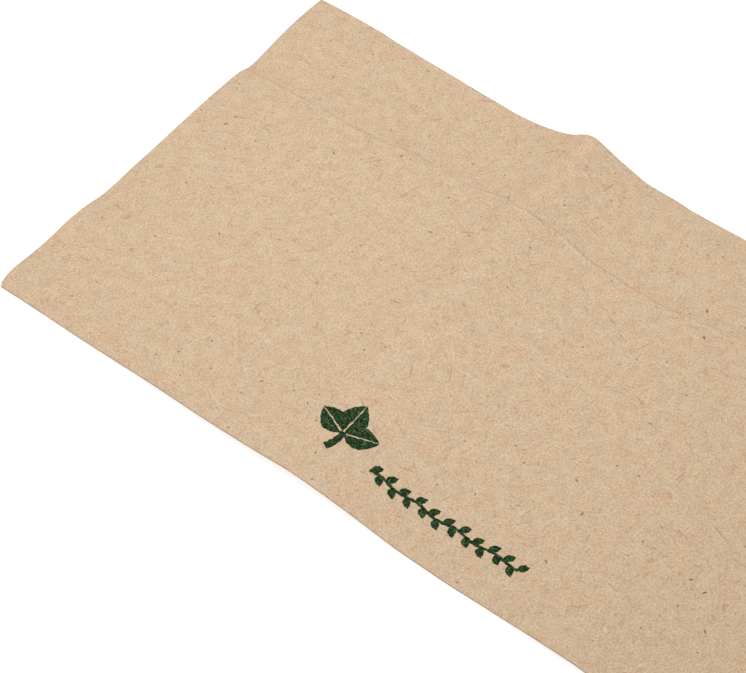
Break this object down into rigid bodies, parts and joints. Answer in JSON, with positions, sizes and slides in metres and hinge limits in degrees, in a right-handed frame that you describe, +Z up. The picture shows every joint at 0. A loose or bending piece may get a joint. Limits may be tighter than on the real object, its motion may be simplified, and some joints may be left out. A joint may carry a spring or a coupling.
{
  "type": "paper napkin",
  "caption": "Thin unbleached paper napkin, folded lengthwise, lying almost flat with a soft ripple across it and a small green printed mark near its outer folds.",
  "frame": {"origin": "under the middle of the napkin, on the surface it lies on", "axes": "+X along the folds, +Y from the outer folds to the centre fold, +Z up out of the printed face"},
  "size_m": [0.178, 0.098, 0.0059],
  "materials": {
    "kraft_paper": "soft matt, uncoated, flecked",
    "print_ink": "matt, printed into the paper"
  },
  "bodies": {
    "root": {"napkin": "kraft_paper"}
  },
  "joints": []
}
